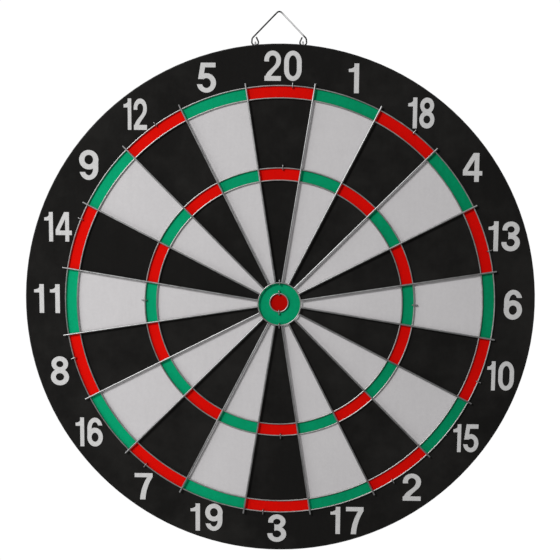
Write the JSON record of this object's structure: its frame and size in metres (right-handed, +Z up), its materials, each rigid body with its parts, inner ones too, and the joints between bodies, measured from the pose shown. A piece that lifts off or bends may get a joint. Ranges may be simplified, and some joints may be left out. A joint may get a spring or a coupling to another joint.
{
  "type": "dartboard",
  "caption": "Round wound-paper dartboard with flocked scoring sectors and numerals, a stapled wire spider, an edge band and a swinging bent-wire hanger.",
  "frame": {"origin": "centre of the flat back, on the wall plane", "axes": "+Z up towards the hanger, Y along the disc's axis with the playing face towards -Y, +X to the right seen from the front"},
  "size_m": [0.4054, 0.0207, 0.4321],
  "materials": {
    "wound_paper": "matte wound kraft paper",
    "edge_band": "satin black band",
    "black_flock": "short black flock",
    "white_flock": "short off-white flock",
    "numeral_flock": "short off-white flock, speckled",
    "red_flock": "short red flock",
    "green_flock": "short green flock",
    "spider_wire": "galvanised",
    "staple_wire": "galvanised",
    "hanger_wire": "bright drawn wire"
  },
  "bodies": {
    "board": {"paper_coil": "wound_paper", "edge_band": "edge_band", "front_face_sheet": "black_flock", "white_inner_singles": "white_flock", "white_outer_singles": "white_flock", "white_numerals": "numeral_flock", "red_trebles": "red_flock", "red_doubles": "red_flock", "red_bullseye": "red_flock", "green_trebles": "green_flock", "green_doubles": "green_flock", "green_outer_bull": "green_flock", "double_outer_wire": "spider_wire", "double_inner_wire": "spider_wire", "treble_outer_wire": "spider_wire", "treble_inner_wire": "spider_wire", "outer_bull_wire": "spider_wire", "bullseye_wire": "spider_wire", "radial_wire_20_1": "spider_wire", "radial_wire_1_18": "spider_wire", "radial_wire_18_4": "spider_wire", "radial_wire_4_13": "spider_wire", "radial_wire_13_6": "spider_wire", "radial_wire_6_10": "spider_wire", "radial_wire_10_15": "spider_wire", "radial_wire_15_2": "spider_wire", "radial_wire_2_17": "spider_wire", "radial_wire_17_3": "spider_wire", "radial_wire_3_19": "spider_wire", "radial_wire_19_7": "spider_wire", "radial_wire_7_16": "spider_wire", "radial_wire_16_8": "spider_wire", "radial_wire_8_11": "spider_wire", "radial_wire_11_14": "spider_wire", "radial_wire_14_9": "spider_wire", "radial_wire_9_12": "spider_wire", "radial_wire_12_5": "spider_wire", "radial_wire_5_20": "spider_wire", "double_ring_staples": "staple_wire", "treble_ring_staples": "staple_wire", "outer_bull_staples": "staple_wire", "bullseye_staples": "staple_wire", "hanger_staple_left": "staple_wire", "hanger_staple_right": "staple_wire"},
    "hanger": {"hanger_wire": "hanger_wire"}
  },
  "joints": [
    {"name": "hanger_pivot", "type": "hinge", "parent": "board", "child": "hanger", "pos_m": [-0.0019, -0.0085, 0.20294], "axis": [1, 0, 0], "range_deg": [-88, 88]}
  ]
}
